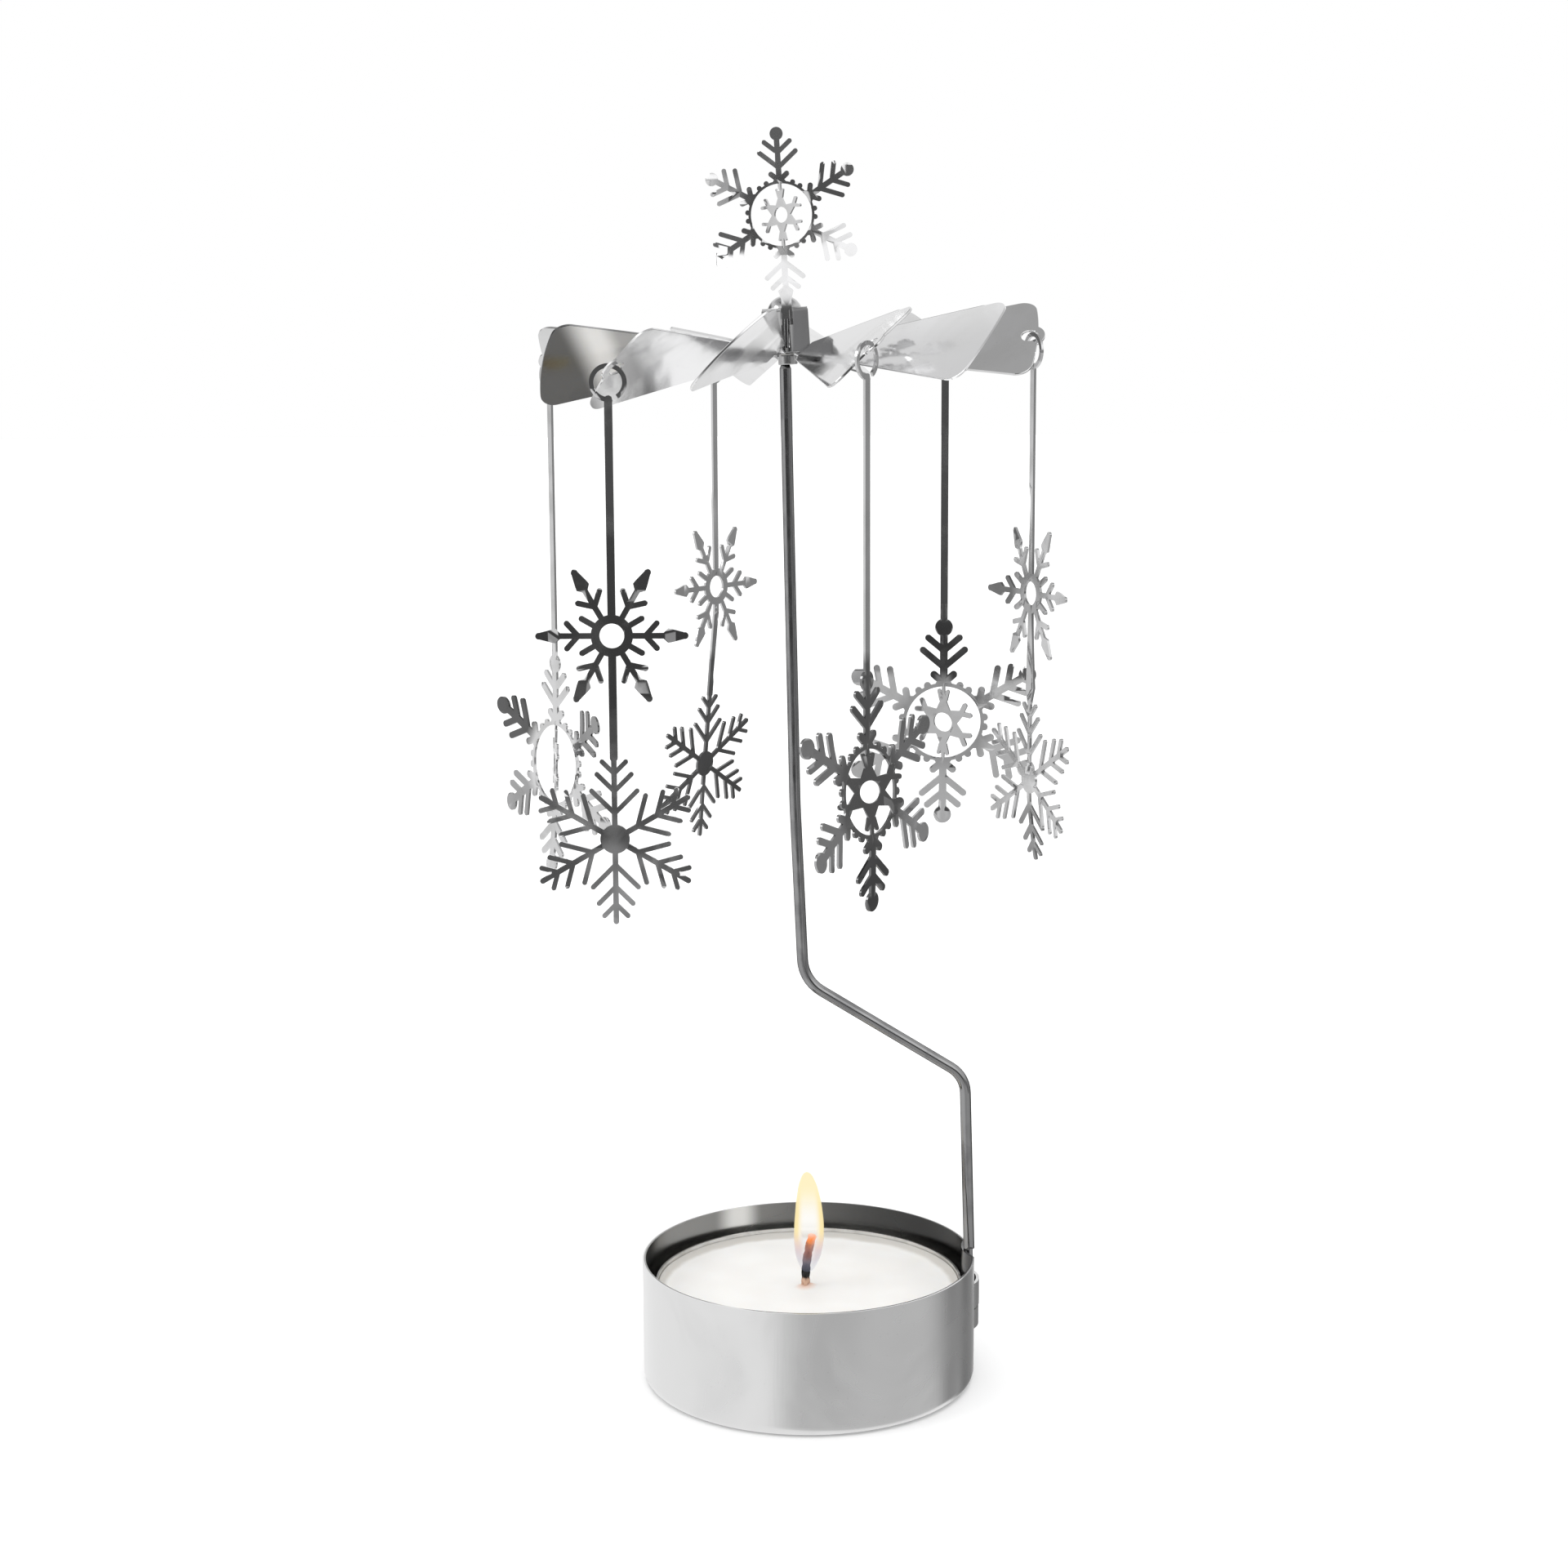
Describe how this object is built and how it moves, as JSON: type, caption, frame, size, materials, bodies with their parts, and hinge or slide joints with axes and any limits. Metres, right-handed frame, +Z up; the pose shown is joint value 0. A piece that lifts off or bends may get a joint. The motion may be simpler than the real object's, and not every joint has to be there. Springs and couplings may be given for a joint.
{
  "type": "rotary tealight carousel",
  "caption": "Tealight cup with a cranked rod that carries a bladed rotor hung with snowflake pendants; the candle's warm air turns it.",
  "frame": {"origin": "centre of the cup's underside", "axes": "+Z up, +X towards the rod's socket in the cup wall"},
  "size_m": [0.0684, 0.074, 0.1531],
  "materials": {
    "cup_steel": "bright drawn sheet",
    "rod_steel": "bright wire",
    "sheet_steel": "mirror sheet",
    "pendant_steel": "mirror sheet",
    "bush_steel": "turned",
    "tealight_metal": "thin pressed sheet",
    "wax": "smooth paraffin wax",
    "wick": "charred cotton"
  },
  "bodies": {
    "base": {"base_cup": "cup_steel"},
    "rod": {"support_rod": "rod_steel"},
    "rotor": {"rotor_disc": "sheet_steel", "guide_bush": "bush_steel", "pivot_cap": "sheet_steel", "top_snowflake": "sheet_steel"},
    "double_pendant_1": {"double_pendant_1": "pendant_steel"},
    "large_pendant_1": {"large_pendant_1": "pendant_steel"},
    "double_pendant_2": {"double_pendant_2": "pendant_steel"},
    "large_pendant_2": {"large_pendant_2": "pendant_steel"},
    "double_pendant_3": {"double_pendant_3": "pendant_steel"},
    "large_pendant_3": {"large_pendant_3": "pendant_steel"},
    "tealight": {"tealight_cup": "tealight_metal", "candle_wax": "wax", "wick": "wick", "wick_sustainer": "tealight_metal"}
  },
  "joints": [
    {"name": "rod_lift", "type": "slide", "parent": "base", "child": "rod", "axis": [-0.0289, -0.0027, 0.9996], "range_m": [0, 0.01]},
    {"name": "rotor_spin", "type": "hinge", "parent": "rod", "child": "rotor", "pos_m": [-0.00246, 0, 0.1335], "axis": [-0.061, 0, 0.9981], "continuous": true},
    {"name": "double_pendant_1_swing", "type": "hinge", "parent": "rotor", "child": "double_pendant_1", "pos_m": [0.02652, -0.00634, 0.12738], "axis": [-0.9063, -0.4226, 0], "range_deg": [-12, 22]},
    {"name": "large_pendant_1_swing", "type": "hinge", "parent": "rotor", "child": "large_pendant_1", "pos_m": [0.0177, 0.02172, 0.12694], "axis": [0, -1, 0], "range_deg": [-12, 22]},
    {"name": "double_pendant_2_swing", "type": "hinge", "parent": "rotor", "child": "double_pendant_2", "pos_m": [-0.01171, 0.02766, 0.12491], "axis": [0.809, -0.5878, 0], "range_deg": [-12, 22]},
    {"name": "large_pendant_2_swing", "type": "hinge", "parent": "rotor", "child": "large_pendant_2", "pos_m": [-0.03087, 0.00623, 0.12444], "axis": [0.7986, 0.6018, 0], "range_deg": [-12, 22]},
    {"name": "double_pendant_3_swing", "type": "hinge", "parent": "rotor", "child": "double_pendant_3", "pos_m": [-0.02185, -0.02172, 0.12439], "axis": [0, 1, 0], "range_deg": [-12, 22]},
    {"name": "large_pendant_3_swing", "type": "hinge", "parent": "rotor", "child": "large_pendant_3", "pos_m": [0.0067, -0.02797, 0.12682], "axis": [-0.8141, 0.5807, 0], "range_deg": [-12, 22]},
    {"name": "tealight_lift", "type": "slide", "parent": "base", "child": "tealight", "axis": [0, 0, 1], "range_m": [0, 0.014]}
  ]
}
